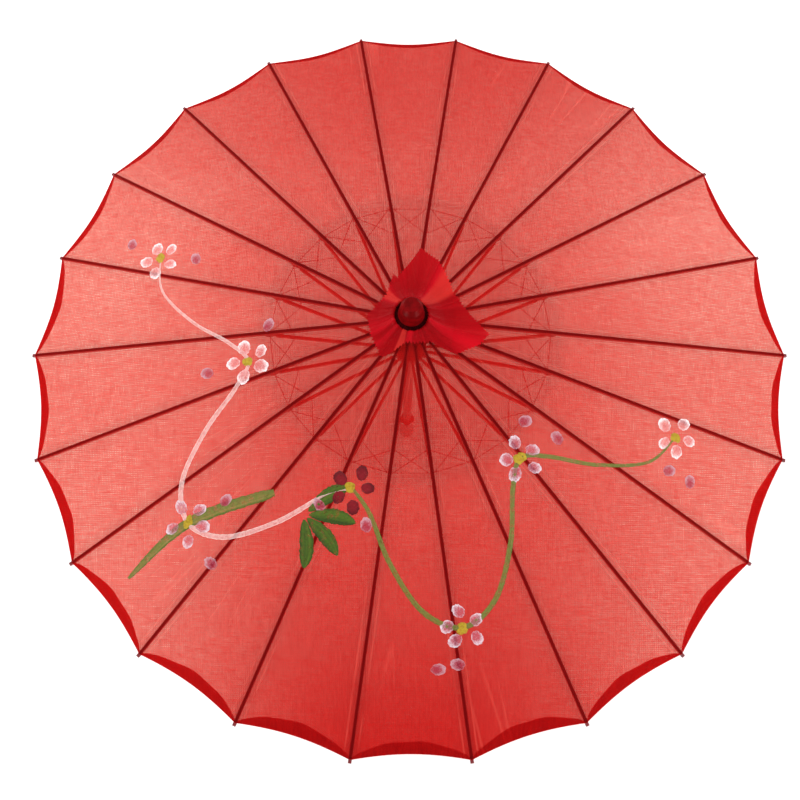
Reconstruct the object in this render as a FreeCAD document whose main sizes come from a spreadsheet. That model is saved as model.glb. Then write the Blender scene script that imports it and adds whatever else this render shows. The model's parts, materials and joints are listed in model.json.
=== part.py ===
"""Parasol: a round cloth canopy on split ribs, opened by a runner that slides on a wooden pole.

Frame: +Z up along the pole, origin at the centre of the grip's flat end. Modelled fully open.
The ribs and the stretchers have equal link lengths, so when a rib folds by an angle its
stretcher turns back by exactly twice that angle and the runner travels straight down the pole.
"""
import FreeCAD, Part
import math
import os
import re

import Sketcher

# Driving dimensions in millimetres, apart from rib_slope and cap_bearing (degrees) and rib_count.
DIMENSIONS = {
    # overall
    "overall_height": 550,       # grip end to finial top
    "canopy_radius": 410,        # axis to rib tip
    "rib_count": 22,
    "rib_slope": 15.5,           # rib centreline below horizontal when open
    # pole and grip
    "pole_radius": 6,
    "grip_radius": 11,
    "grip_length": 90,
    "grip_socket_depth": 65,
    "grip_round": 4,             # fillet round the grip's end
    "grip_chamfer": 1.5,
    "glue_gap": 0.05,            # radial gap of glued and pinned fits
    # finial
    "finial_height": 28,
    "finial_neck_radius": 8,
    "finial_neck_height": 5,
    "finial_base_radius": 12.5,
    "finial_shoulder_radius": 10.3,
    "finial_shoulder_drop": 6,   # finial's top face down to its shoulder
    "finial_shoulder_round": 3,
    "finial_top_radius": 7.2,
    "finial_round": 1,
    "finial_socket_depth": 15,
    # hub (upper notch)
    "notch_radius": 17,          # outer radius of both slotted rings
    "hub_above": 12,             # rib pivot to the hub's top face
    "hub_below": 9,              # rib pivot to the hub's underside
    "hub_chamfer": 1.5,
    "pivot_radius": 13.5,        # axis to the pivots, in the hub and in the runner
    "slot_side_gap": 0.2,        # each side of a blade in its slot
    "slot_end_gap": 0.7,         # past a blade's rounded end or edge
    "wire_radius": 0.6,
    "eye_gap": 0.2,              # round the wire or thread in a moving piece
    "cross_pin_radius": 1.2,
    "cross_pin_level": 7.5,      # rib pivot to the cross pin
    "cross_pin_recess": 0.5,
    # runner (lower notch)
    "runner_gap": 0.25,          # runner bore round the pole
    "runner_above": 4,           # stretcher pivot to the runner's top
    "runner_below": 6,           # stretcher pivot to the head's underside
    "sleeve_radius": 10,
    "sleeve_length": 30,
    # ribs
    "rib_width": 3.4,
    "rib_height": 4,
    "rib_tip_height": 2.8,
    "rib_root_length": 26,       # thin part that folds into the hub's slot
    "blade_root_width": 1.9,
    "joint_radius": 140,         # axis to the rib and stretcher joints
    "joint_offset": 5,           # joint below the rib's centreline
    "lug_half_length": 4.2,
    "lug_foot": 2.2,             # lug material past the joint hole's centre
    # stretchers
    "stretcher_width": 2.8,
    "stretcher_height": 3.5,
    "stretcher_root_length": 7.5,
    "tongue_width": 1.2,
    "tongue_length": 6.5,
    "tongue_gap": 0.25,          # each side of the tongue in the lug
    # lacing
    "thread_radius": 0.35,
    "thread_eye_radius": 0.8,
    "lace_inset": 24,            # joint to the inner lacing hole, along the stretcher
    "lace_lead": 3,              # straight thread each side of a hole, before it fans out
    # canopy and cap cloth
    "canopy_hub_gap": 1.5,       # canopy's inner edge past the hub
    "canopy_overhang": -3,       # canopy edge past the rib tips
    "canopy_thickness": 0.6,
    "canopy_gap": 0.3,           # clear space between layers
    "hem_hollow": 7,             # hem's inward curve between two rib tips
    "cap_side": 104,             # side of the square cap cloth
    "cap_thickness": 0.6,
    "cap_bearing": 36,           # the square's turn round the pole, in degrees
    "cap_break_radius": 44,      # where the cap cloth meets the canopy's slope
    "tie_radius": 0.6,
    # catch
    "catch_length": 30,          # catch pin to the shoulder under the runner
    "catch_width": 2.4,
    "catch_leaf": 2.4,           # leaf thickness
    "catch_nose_height": 9,
    "catch_reach": 2.4,          # nose past the pole's surface
    "catch_offset": 2,           # leaf centre from the pole's axis
    "catch_pin_radius": 0.8,
    "catch_slot_gap": 0.35,
    "catch_travel": 2.8,         # how far the leaf swings into the pole
}

# Sizes that follow from the driving dimensions, as spreadsheet expressions.
LAYOUT = [
    ("hub_level", "overall_height - finial_height - hub_above"),
    ("rib_length", "(canopy_radius - pivot_radius) / cos(rib_slope * 1deg)"),
    ("joint_reach", "(joint_radius - pivot_radius + joint_offset * sin(rib_slope * 1deg))"
                    " / cos(rib_slope * 1deg)"),
    ("link_length", "sqrt(joint_reach ^ 2 + joint_offset ^ 2)"),
    ("joint_drop", "joint_reach * sin(rib_slope * 1deg) + joint_offset * cos(rib_slope * 1deg)"),
    ("runner_level", "hub_level - 2 * joint_drop"),
    ("slot_width", "blade_root_width + 2 * slot_side_gap"),
    ("slot_root", "pivot_radius - rib_height / 2 - slot_end_gap"),
    ("eye_radius", "wire_radius + eye_gap"),
    ("finial_level", "hub_level + hub_above"),
    ("pole_bottom", "grip_length - grip_socket_depth"),
    ("pole_top", "finial_level + finial_socket_depth"),
    ("canopy_lift", "(rib_height / 2 + canopy_gap) / cos(rib_slope * 1deg)"),
    ("canopy_start", "notch_radius + canopy_hub_gap"),
    ("canopy_edge", "canopy_radius + canopy_overhang"),
    ("half_bay", "180 / rib_count"),
    ("hem_half_chord", "canopy_edge * sin(half_bay * 1deg)"),
    ("hem_radius", "(hem_half_chord ^ 2 + hem_hollow ^ 2) / (2 * hem_hollow)"),
    ("hem_centre", "canopy_edge * cos(half_bay * 1deg) - hem_hollow + hem_radius"),
    ("catch_shoulder", "runner_level - runner_below - sleeve_length - canopy_gap"),
    ("catch_level", "catch_shoulder - catch_length"),
]

BEYOND = 2  # how far a cutting tool runs past the face that it breaks through

doc = FreeCAD.newDocument("Parasol")
sheet = doc.addObject("Spreadsheet::Sheet", "Sizes")
for row, (alias, number) in enumerate(DIMENSIONS.items(), start=1):
    sheet.set(f"A{row}", alias)
    sheet.set(f"B{row}", str(number))
    sheet.setAlias(f"B{row}", alias)
doc.recompute()

layout = doc.addObject("App::VarSet", "Layout")
derived = [name for name, _ in LAYOUT]


def formula(text):
    """An expression in which each size's name points at the sheet or at the derived layout."""
    def owner(match):
        word = match.group(0)
        return f"Layout.{word}" if word in derived else f"Sizes.{word}"
    return re.sub(r"\b[a-z]+(?:_[a-z]+)+\b", owner, str(text))


def size(text):
    """The present value of an expression, as a plain number."""
    return float(sheet.evalExpression(formula(text)))


for name, text in LAYOUT:
    layout.addProperty("App::PropertyFloat", name, "Layout", text)
    layout.setExpression(name, formula(text))
    doc.recompute()


# ---------------------------------------------------------------- sketch and feature helpers

def new_body(label, placement=None):
    body = doc.addObject("PartDesign::Body", label)
    body.Label = label
    if placement is not None:
        body.Placement = placement
    return body


def origin(body, role):
    return next(item for item in body.Origin.OriginFeatures if item.Role == role)


def new_sketch(body, plane, lift="0"):
    sketch = body.newObject("Sketcher::SketchObject", f"{body.Name}_sketch")
    sketch.AttachmentSupport = [(origin(body, plane), "")]
    sketch.MapMode = "FlatFace"
    sketch.setExpression("AttachmentOffset.Base.z", formula(lift))
    return sketch


def pin_point(sketch, geometry, vertex, x, y):
    """Hold a sketch point at two expressions, measured from the sketch's origin."""
    for kind, text in (("DistanceX", x), ("DistanceY", y)):
        constraint = Sketcher.Constraint(kind, -1, 1, geometry, vertex, size(text))
        index = sketch.addConstraint(constraint)
        sketch.setExpression(f"Constraints[{index}]", formula(text))


def polygon(sketch, corners):
    """A closed outline through corners given as pairs of expressions."""
    points = [FreeCAD.Vector(size(x), size(y), 0) for x, y in corners]
    first = sketch.GeometryCount
    count = len(points)
    for i, point in enumerate(points):
        sketch.addGeometry(Part.LineSegment(point, points[(i + 1) % count]))
    for i in range(count):
        following = first + (i + 1) % count
        sketch.addConstraint(Sketcher.Constraint("Coincident", first + i, 2, following, 1))
    for i, (x, y) in enumerate(corners):
        pin_point(sketch, first + i, 1, x, y)
    return sketch


def rectangle(sketch, x_low, y_low, x_high, y_high):
    return polygon(sketch, [(x_low, y_low), (x_high, y_low), (x_high, y_high), (x_low, y_high)])


def circle(sketch, x, y, radius):
    centre = FreeCAD.Vector(size(x), size(y), 0)
    index = sketch.addGeometry(Part.Circle(centre, FreeCAD.Vector(0, 0, 1), size(radius)))
    constraint = sketch.addConstraint(Sketcher.Constraint("Radius", index, size(radius)))
    sketch.setExpression(f"Constraints[{constraint}]", formula(radius))
    pin_point(sketch, index, 3, x, y)
    return sketch


def pad(body, sketch, length, midplane=True):
    feature = body.newObject("PartDesign::Pad", f"{body.Name}_pad")
    feature.Profile = sketch
    feature.SideType = "Symmetric" if midplane else "One side"
    feature.setExpression("Length", formula(length))
    return feature


def pocket(body, sketch, length=None):
    """A cut centred on the sketch's plane: a given length, or through everything."""
    feature = body.newObject("PartDesign::Pocket", f"{body.Name}_pocket")
    feature.Profile = sketch
    feature.SideType = "Symmetric"
    if length is None:
        feature.Type = "ThroughAll"
    else:
        feature.setExpression("Length", formula(length))
    return feature


def turn(body, sketch, kind="Revolution"):
    """Turn a sketch drawn in the XZ plane through a full circle about the body's Z axis."""
    feature = body.newObject(f"PartDesign::{kind}", f"{body.Name}_{kind.lower()}")
    feature.Profile = sketch
    feature.ReferenceAxis = (sketch, ["V_Axis"])
    feature.Angle = 360
    return feature


def repeat_round(body, feature):
    """Repeat a feature once for each rib, about the Z axis."""
    pattern = body.newObject("PartDesign::PolarPattern", f"{body.Name}_pattern")
    pattern.Originals = [feature]
    pattern.Axis = (origin(body, "Z_Axis"), [""])
    pattern.Angle = 360
    pattern.setExpression("Occurrences", formula("rib_count"))
    body.Tip = pattern
    return pattern


def edges_at(shape, radius, level):
    """Names of a turned shape's circular edges of one radius at one height."""
    names = []
    for index, edge in enumerate(shape.Edges, start=1):
        if not isinstance(edge.Curve, Part.Circle):
            continue
        same_radius = abs(edge.Curve.Radius - radius) < 1e-4
        if same_radius and abs(edge.Curve.Center.z - level) < 1e-4:
            names.append(f"Edge{index}")
    return names


def dress(body, kind, radius, level, amount):
    """Fillet or chamfer the circular edges of one radius at one height."""
    doc.recompute()
    base = body.Tip
    feature = body.newObject(f"PartDesign::{kind}", f"{body.Name}_{kind.lower()}")
    feature.Base = (base, edges_at(base.Shape, size(radius), size(level)))
    feature.setExpression("Radius" if kind == "Fillet" else "Size", formula(amount))
    return feature


def place(primitive, label, axis_angle=None, **expressions):
    """Name a Part primitive and bind its sizes and its place to expressions."""
    primitive.Label = label
    if axis_angle is not None:
        primitive.Placement.Rotation = FreeCAD.Rotation(*axis_angle)
    for key, text in expressions.items():
        primitive.setExpression(key.replace("__", "."), formula(text))
    return primitive


# ---------------------------------------------------------------- places

def at_level(level, turn_degrees=0):
    turned = FreeCAD.Rotation(FreeCAD.Vector(0, 0, 1), turn_degrees)
    return FreeCAD.Placement(FreeCAD.Vector(0, 0, size(level)), turned)


def bearing(index):
    """A rib's direction round the pole, in degrees from +X."""
    return 360.0 * index / size("rib_count")


def radial_placement(index, level, pitch):
    """A bar's own frame: origin at its pivot, X outward along the bar, tipped up by pitch."""
    swing = FreeCAD.Rotation(FreeCAD.Vector(0, 0, 1), bearing(index))
    tip = FreeCAD.Rotation(FreeCAD.Vector(0, 1, 0), -pitch)
    pivot = swing.multVec(FreeCAD.Vector(size("pivot_radius"), 0, 0))
    pivot.z = size(level)
    return FreeCAD.Placement(pivot, swing.multiply(tip))


def stretcher_pitch():
    run = size("joint_radius - pivot_radius")
    return math.degrees(math.atan2(size("joint_drop"), run))


# ---------------------------------------------------------------- pole, grip and finial

def make_pole():
    body = new_body("pole")
    blank = circle(new_sketch(body, "XY_Plane", "pole_bottom"), "0", "0", "pole_radius")
    pad(body, blank, "pole_top - pole_bottom", midplane=False)
    pin_level = "hub_level + cross_pin_level"
    cross_hole = circle(new_sketch(body, "YZ_Plane"), "0", pin_level, "cross_pin_radius + glue_gap")
    pocket(body, cross_hole)
    window = rectangle(
        new_sketch(body, "XZ_Plane"),
        "catch_offset - catch_leaf / 2 - catch_travel",
        "catch_level - catch_leaf / 2 - catch_slot_gap - catch_pin_radius",
        f"pole_radius + {BEYOND}",
        "catch_shoulder + catch_slot_gap",
    )
    pocket(body, window, "catch_width + 2 * catch_slot_gap")
    catch_hole = circle(
        new_sketch(body, "XZ_Plane"), "catch_offset", "catch_level", "catch_pin_radius + glue_gap")
    pocket(body, catch_hole)


def make_grip():
    body = new_body("grip")
    blank = circle(new_sketch(body, "XY_Plane"), "0", "0", "grip_radius")
    pad(body, blank, "grip_length", midplane=False)
    socket = new_sketch(body, "XZ_Plane")
    rectangle(socket, "0", "pole_bottom", "pole_radius + glue_gap", f"grip_length + {BEYOND}")
    turn(body, socket, "Groove")
    dress(body, "Fillet", "grip_radius", "0", "grip_round")
    dress(body, "Chamfer", "grip_radius", "grip_length", "grip_chamfer")


def make_finial():
    """A turned knob: a narrow neck for the cap cloth, a tapering body and a small flat top."""
    body = new_body("finial", at_level("finial_level"))
    shoulder = "finial_height - finial_shoulder_drop"
    outline = [
        ("0", "finial_socket_depth"),
        ("pole_radius + glue_gap", "finial_socket_depth"),
        ("pole_radius + glue_gap", "0"),
        ("finial_neck_radius", "0"),
        ("finial_neck_radius", "finial_neck_height"),
        ("finial_base_radius", "finial_neck_height"),
        ("finial_shoulder_radius", shoulder),
        ("finial_top_radius", "finial_height"),
        ("0", "finial_height"),
    ]
    turn(body, polygon(new_sketch(body, "XZ_Plane"), outline))
    dress(body, "Fillet", "finial_base_radius", "finial_neck_height", "finial_round")
    dress(body, "Fillet", "finial_shoulder_radius", shoulder, "finial_shoulder_round")
    dress(body, "Fillet", "finial_top_radius", "finial_height", "finial_round")


# ---------------------------------------------------------------- slotted rings and their wires

def slotted_ring(label, level, outline, slot):
    """A turned block with a slot for each bar and a round channel for the pivot wire."""
    body = new_body(label, at_level(level))
    turn(body, polygon(new_sketch(body, "XZ_Plane"), outline))
    channel = new_sketch(body, "XZ_Plane")
    circle(channel, "pivot_radius", "0", "wire_radius + glue_gap")
    turn(body, channel, "Groove")
    cut = pocket(body, rectangle(new_sketch(body, "XZ_Plane"), *slot), "slot_width")
    repeat_round(body, cut)
    return body


def make_hub():
    bore = "pole_radius + glue_gap"
    outline = [
        (bore, "-hub_below"),
        ("notch_radius", "-hub_below"),
        ("notch_radius", "hub_above - hub_chamfer"),
        ("notch_radius - hub_chamfer", "hub_above"),
        (bore, "hub_above"),
    ]
    slot = ("slot_root", f"-hub_below - {BEYOND}",
            f"notch_radius + {BEYOND}", "rib_height / 2 + slot_end_gap")
    body = slotted_ring("top_hub", "hub_level", outline, slot)
    hole = new_sketch(body, "YZ_Plane")
    circle(hole, "0", "cross_pin_level", "cross_pin_radius + glue_gap")
    pocket(body, hole)


def make_runner():
    bore = "pole_radius + runner_gap"
    sleeve_end = "-runner_below - sleeve_length"
    outline = [
        (bore, sleeve_end),
        ("sleeve_radius", sleeve_end),
        ("sleeve_radius", "-runner_below - hub_chamfer"),
        ("notch_radius", "-runner_below"),
        ("notch_radius", "runner_above"),
        (bore, "runner_above"),
    ]
    slot = ("slot_root", "-stretcher_height / 2 - slot_end_gap",
            f"notch_radius + {BEYOND}", f"runner_above + {BEYOND}")
    slotted_ring("runner", "runner_level", outline, slot)


def make_wires():
    """Rings of wire that the ribs and stretchers turn on, and the tie round the finial's neck."""
    place(doc.addObject("Part::Torus", "hub_wire"), "hub_wire",
          Radius1="pivot_radius", Radius2="wire_radius", Placement__Base__z="hub_level")
    place(doc.addObject("Part::Torus", "runner_wire"), "runner_wire",
          Radius1="pivot_radius", Radius2="wire_radius", Placement__Base__z="runner_level")
    collar = "finial_neck_radius + canopy_gap + cap_thickness"
    place(doc.addObject("Part::Torus", "cap_tie"), "cap_tie",
          Radius1=f"{collar} + tie_radius + glue_gap", Radius2="tie_radius",
          Placement__Base__z="finial_level + finial_neck_height / 2 + cap_thickness")


def make_pins():
    pin_reach = "notch_radius - cross_pin_recess"
    place(doc.addObject("Part::Cylinder", "hub_pin"), "hub_pin",
          (FreeCAD.Vector(0, 1, 0), 90),
          Radius="cross_pin_radius", Height=f"2 * ({pin_reach})",
          Placement__Base__x=f"-({pin_reach})",
          Placement__Base__z="hub_level + cross_pin_level")
    catch_pin_reach = "sqrt(pole_radius ^ 2 - (catch_offset + catch_pin_radius) ^ 2)"
    place(doc.addObject("Part::Cylinder", "catch_pin"), "catch_pin",
          (FreeCAD.Vector(1, 0, 0), 90),
          Radius="catch_pin_radius", Height=f"2 * {catch_pin_reach}",
          Placement__Base__x="catch_offset",
          Placement__Base__y=catch_pin_reach,
          Placement__Base__z="catch_level")


def make_catch():
    """A leaf in the pole whose nose holds the runner up; its lower end turns on the catch pin."""
    body = new_body("catch_spring", FreeCAD.Placement(
        FreeCAD.Vector(size("catch_offset"), 0, size("catch_level")), FreeCAD.Rotation()))
    nose = "pole_radius + catch_reach - catch_offset"
    outline = [
        ("-catch_leaf / 2", "-catch_leaf / 2 - catch_pin_radius / 2"),
        ("catch_leaf / 2", "-catch_leaf / 2 - catch_pin_radius / 2"),
        ("catch_leaf / 2", "catch_length - catch_nose_height"),
        (nose, "catch_length - catch_leaf"),
        (nose, "catch_length"),
        ("-catch_leaf / 2", "catch_length"),
    ]
    pad(body, polygon(new_sketch(body, "XZ_Plane"), outline), "catch_width")
    hole = circle(new_sketch(body, "XZ_Plane"), "0", "0", "catch_pin_radius + glue_gap")
    pocket(body, hole)


# ---------------------------------------------------------------- ribs and stretchers

def make_rib(index):
    """A split rib: a thin root on the hub's wire, a full-width bar and a forked lug below it."""
    label = f"rib_{index + 1:02d}"
    body = new_body(label, radial_placement(index, "hub_level", -size("rib_slope")))
    eye = circle(new_sketch(body, "XZ_Plane"), "0", "0", "rib_height / 2")
    pad(body, eye, "blade_root_width")
    root = new_sketch(body, "XZ_Plane")
    rectangle(root, "0", "-rib_height / 2", "rib_root_length + rib_width", "rib_height / 2")
    pad(body, root, "blade_root_width")
    bar = [
        ("rib_root_length", "-rib_height / 2"),
        ("rib_length", "rib_height / 2 - rib_tip_height"),
        ("rib_length", "rib_height / 2"),
        ("rib_root_length", "rib_height / 2"),
    ]
    pad(body, polygon(new_sketch(body, "XZ_Plane"), bar), "rib_width")
    lug_low = "-joint_offset - lug_foot"
    lug = [
        ("joint_reach - lug_half_length", "0"),
        ("joint_reach - lug_half_length", "-rib_height / 2"),
        ("joint_reach - lug_half_length / 2", lug_low),
        ("joint_reach + lug_half_length / 2", lug_low),
        ("joint_reach + lug_half_length", "-rib_height / 2"),
        ("joint_reach + lug_half_length", "0"),
    ]
    pad(body, polygon(new_sketch(body, "XZ_Plane"), lug), "rib_width")
    fork = new_sketch(body, "XZ_Plane")
    rectangle(fork, "joint_reach - 2 * lug_half_length", f"{lug_low} - {BEYOND}",
              "joint_reach + 2 * lug_half_length",
              "-joint_offset + stretcher_height / 2 + slot_end_gap / 2")
    pocket(body, fork, "tongue_width + 2 * tongue_gap")
    pocket(body, circle(new_sketch(body, "XZ_Plane"), "0", "0", "eye_radius"))
    joint_hole = new_sketch(body, "XZ_Plane")
    circle(joint_hole, "joint_reach", "-joint_offset", "thread_eye_radius")
    pocket(body, joint_hole)


def make_stretcher(index):
    """A strut from the runner's wire to the rib's lug, with a hole for the lacing."""
    label = f"stretcher_{index + 1:02d}"
    body = new_body(label, radial_placement(index, "runner_level", stretcher_pitch()))
    half = "stretcher_height / 2"
    for centre, width in (("0", "blade_root_width"), ("link_length", "tongue_width")):
        pad(body, circle(new_sketch(body, "XZ_Plane"), centre, "0", half), width)
    sections = [
        ("0", "stretcher_root_length + stretcher_width", "blade_root_width"),
        ("stretcher_root_length", "link_length - tongue_length", "stretcher_width"),
        ("link_length - tongue_length - stretcher_width", "link_length", "tongue_width"),
    ]
    for start, end, width in sections:
        pad(body, rectangle(new_sketch(body, "XZ_Plane"), start, f"-{half}", end, half), width)
    holes = [
        ("0", "eye_radius"),
        ("link_length", "thread_eye_radius"),
        ("link_length - lace_inset", "thread_eye_radius"),
    ]
    for centre, radius in holes:
        pocket(body, circle(new_sketch(body, "XZ_Plane"), centre, "0", radius))


# ---------------------------------------------------------------- canopy, cap cloth and lacing

def canopy_height(radius, extra="0"):
    """Height of the canopy's underside, plus extra, over the hub's pivot level."""
    return f"canopy_lift + {extra} - ({radius} - pivot_radius) * tan(rib_slope * 1deg)"


def make_canopy():
    """The stretched cloth as one thin cone with its hem hollowed between the rib tips."""
    body = new_body("canopy", at_level("hub_level"))
    outline = [
        ("canopy_start", canopy_height("canopy_start")),
        ("canopy_edge", canopy_height("canopy_edge")),
        ("canopy_edge", canopy_height("canopy_edge", "canopy_thickness")),
        ("canopy_start", canopy_height("canopy_start", "canopy_thickness")),
    ]
    turn(body, polygon(new_sketch(body, "XZ_Plane"), outline))
    hollow = new_sketch(body, "XY_Plane")
    circle(hollow, "hem_centre * cos(half_bay * 1deg)", "hem_centre * sin(half_bay * 1deg)",
           "hem_radius")
    repeat_round(body, pocket(body, hollow))


def make_cap_cloth():
    """A square of cloth with a hole at the finial's neck, gathered up round it under the tie."""
    body = new_body("cap_cloth", at_level("hub_level", size("cap_bearing")))
    inner = "finial_neck_radius + canopy_gap"
    collar = f"{inner} + cap_thickness"
    shelf = "hub_above + canopy_gap"
    shoulder = "notch_radius + canopy_gap"
    brim = "cap_side * 0.75"
    over = "canopy_thickness + canopy_gap"
    over_top = f"{over} + cap_thickness"
    outline = [
        (inner, shelf),
        (shoulder, shelf),
        ("cap_break_radius", canopy_height("cap_break_radius", over)),
        (brim, canopy_height(brim, over)),
        (brim, canopy_height(brim, over_top)),
        ("cap_break_radius", canopy_height("cap_break_radius", over_top)),
        (f"{shoulder} + cap_thickness / 2", f"{shelf} + cap_thickness"),
        (collar, f"{shelf} + cap_thickness"),
        (collar, "hub_above + finial_neck_height - canopy_gap"),
        (inner, "hub_above + finial_neck_height - canopy_gap"),
    ]
    turn(body, polygon(new_sketch(body, "XZ_Plane"), outline))
    trim = new_sketch(body, "XY_Plane")
    circle(trim, "0", "0", "cap_side")
    rectangle(trim, "-cap_side / 2", "-cap_side / 2", "cap_side / 2", "cap_side / 2")
    pocket(body, trim)


def thread_run(start, end, radius):
    """One straight length of thread with a knot at its start."""
    along = end - start
    run = Part.makeCylinder(radius, along.Length, start, along)
    return [run, Part.makeSphere(radius, start), Part.makeSphere(radius, end)]


def make_lacing():
    """The net of thread that passes through every joint and every stretcher's inner hole."""
    radius = size("thread_radius")
    lead = size("lace_lead")
    bay = 2 * math.radians(size("half_bay"))
    joint_level = size("hub_level - joint_drop")
    pitch = math.radians(stretcher_pitch())
    inset = size("lace_inset")

    def ring_point(ring_radius, level, angle):
        return FreeCAD.Vector(ring_radius * math.cos(angle), ring_radius * math.sin(angle), level)

    def tangent(angle):
        return FreeCAD.Vector(-math.sin(angle), math.cos(angle), 0)

    inner_radius = size("joint_radius") - inset * math.cos(pitch)
    inner_level = joint_level - inset * math.sin(pitch)
    joint_here = ring_point(size("joint_radius"), joint_level, 0)
    joint_next = ring_point(size("joint_radius"), joint_level, bay)
    along = (joint_next - joint_here).normalize()
    inner_here = ring_point(inner_radius, inner_level, 0)
    inner_next = ring_point(inner_radius, inner_level, bay)
    leave_inner = inner_here + tangent(0) * lead
    reach_inner = inner_next - tangent(bay) * lead
    runs = [
        (joint_here, joint_next),
        (inner_here, leave_inner),
        (reach_inner, inner_next),
        (leave_inner, joint_next - along * lead),
        (joint_here + along * lead, reach_inner),
    ]
    pieces = [solid for start, end in runs for solid in thread_run(start, end, radius)]
    one_bay = pieces[0].fuse(pieces[1:])
    bays = []
    for index in range(int(size("rib_count"))):
        turned = one_bay.copy()
        turned.rotate(FreeCAD.Vector(0, 0, 0), FreeCAD.Vector(0, 0, 1), bearing(index))
        bays.append(turned)
    lacing = doc.addObject("Part::Feature", "lace_thread")
    lacing.Label = "lace_thread"
    lacing.Shape = bays[0].fuse(bays[1:])
    lacing.Placement = FreeCAD.Placement()


# ---------------------------------------------------------------- build, check and write

def sub_parts():
    helpers = ("Sketcher::", "Spreadsheet::", "App::")
    inside_bodies = {item for item in doc.Objects if item.getParentGeoFeatureGroup()}
    return [item for item in doc.Objects
            if item not in inside_bodies and not item.TypeId.startswith(helpers)]


def check_document():
    for item in doc.Objects:
        if "Invalid" in item.State or "Error" in item.State:
            raise RuntimeError(f"{item.Label} did not compute: {item.State}")
    for item in sub_parts():
        if item.Shape.isNull() or not item.Shape.isValid() or not item.Shape.Solids:
            raise RuntimeError(f"{item.Label} has no valid solid")


make_pole()
make_grip()
make_finial()
make_hub()
make_runner()
make_wires()
make_pins()
make_catch()
for number in range(int(size("rib_count"))):
    make_rib(number)
    make_stretcher(number)
make_canopy()
make_cap_cloth()
make_lacing()
doc.recompute()
check_document()

os.makedirs("parts", exist_ok=True)
for item in sub_parts():
    item.Shape.exportStep(f"parts/{item.Label}.step")
    print(f"{item.Label}: {item.Shape.Volume:.1f} mm3, {len(item.Shape.Solids)} solid")
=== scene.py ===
"""Parasol looks: cloth gores with turned hems, painted blossom, laced thread and lacquer, on the CAD frame."""

import json
import math
import random

import bpy
import numpy as np
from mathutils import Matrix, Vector

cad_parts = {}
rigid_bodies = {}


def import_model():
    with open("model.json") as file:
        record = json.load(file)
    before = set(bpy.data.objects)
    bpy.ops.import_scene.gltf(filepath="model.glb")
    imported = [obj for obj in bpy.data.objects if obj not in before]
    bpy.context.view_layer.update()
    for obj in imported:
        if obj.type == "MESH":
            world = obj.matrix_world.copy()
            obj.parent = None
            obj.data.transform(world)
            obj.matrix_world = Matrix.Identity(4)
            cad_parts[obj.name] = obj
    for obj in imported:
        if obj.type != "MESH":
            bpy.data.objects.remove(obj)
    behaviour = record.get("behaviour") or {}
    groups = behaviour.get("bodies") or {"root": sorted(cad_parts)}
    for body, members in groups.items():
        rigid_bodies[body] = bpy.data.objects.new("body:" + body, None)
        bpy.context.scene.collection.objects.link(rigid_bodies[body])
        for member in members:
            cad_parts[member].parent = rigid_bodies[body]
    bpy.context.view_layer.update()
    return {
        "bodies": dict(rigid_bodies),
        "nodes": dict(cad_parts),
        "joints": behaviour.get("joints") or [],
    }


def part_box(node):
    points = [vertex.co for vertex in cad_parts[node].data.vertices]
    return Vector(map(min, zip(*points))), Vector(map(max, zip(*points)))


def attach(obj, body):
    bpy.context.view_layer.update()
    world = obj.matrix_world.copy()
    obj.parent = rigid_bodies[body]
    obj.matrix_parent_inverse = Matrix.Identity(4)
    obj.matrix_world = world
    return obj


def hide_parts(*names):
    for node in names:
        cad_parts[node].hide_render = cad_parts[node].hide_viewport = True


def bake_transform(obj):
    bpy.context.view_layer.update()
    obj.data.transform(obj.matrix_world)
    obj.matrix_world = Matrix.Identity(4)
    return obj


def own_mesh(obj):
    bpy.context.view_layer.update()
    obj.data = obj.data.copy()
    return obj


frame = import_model()

# ---------------------------------------------------------------- places taken from the frame

MM = 0.001
JOINTS = {joint["name"]: joint for joint in frame["joints"]}
RIBS = sum(name.startswith("rib_") for name in frame["bodies"])
BAY = 2 * math.pi / RIBS
HALF_BAY = BAY / 2
PIVOT_R, _, HUB_Z = JOINTS["canopy_fold"]["pos_m"]
JOINT_R, _, JOINT_Z = JOINTS["stretcher_01_turn"]["pos_m"]
_, _, RUNNER_Z = JOINTS["runner_turn"]["pos_m"]
CANOPY_LOW, CANOPY_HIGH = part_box("canopy")
HUB_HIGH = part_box("top_hub")[1]
CLOTH = 0.6 * MM                 # thickness of the CAD canopy
EDGE_R = CANOPY_HIGH[0]
INNER_R = HUB_HIGH[0] + 1.5 * MM
TOP_Z = CANOPY_HIGH[2] - CLOTH / 2
SLOPE = (CANOPY_HIGH[2] - CANOPY_LOW[2] - CLOTH) / (EDGE_R - INNER_R)

HEM_HOLLOW = 5 * MM              # the hem's inward curve between two rib tips
SAG = 2.2 * MM                   # the cloth's dip at the middle of a bay, at the hem
RIB_HALF = 1.7 * MM              # half a rib's width
FOLD_AWAY = 6.5 * MM             # fold lines in the cloth, from the middle of a rib


def rib_angle(index):
    return index * BAY


def rib_name(index):
    return f"rib_{index + 1:02d}"


def stretcher_name(index):
    return f"stretcher_{index + 1:02d}"


def outward(angle, radius=1.0, z=0.0):
    return Vector((radius * math.cos(angle), radius * math.sin(angle), z))


def tangent(angle):
    return Vector((-math.sin(angle), math.cos(angle), 0))


# ---------------------------------------------------------------- the cloth's shape

def off_middle(angle):
    """Angle from the middle of the bay that holds this direction."""
    return (angle % BAY) - HALF_BAY


def hem_radius(angle):
    """Plan radius of the cloth's edge: an arc hollowed between neighbouring rib tips."""
    half_chord = EDGE_R * math.sin(HALF_BAY)
    arc = (half_chord ** 2 + HEM_HOLLOW ** 2) / (2 * HEM_HOLLOW)
    centre = EDGE_R * math.cos(HALF_BAY) - HEM_HOLLOW + arc
    swing = off_middle(angle)
    return centre * math.cos(swing) - math.sqrt(arc ** 2 - (centre * math.sin(swing)) ** 2)


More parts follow.
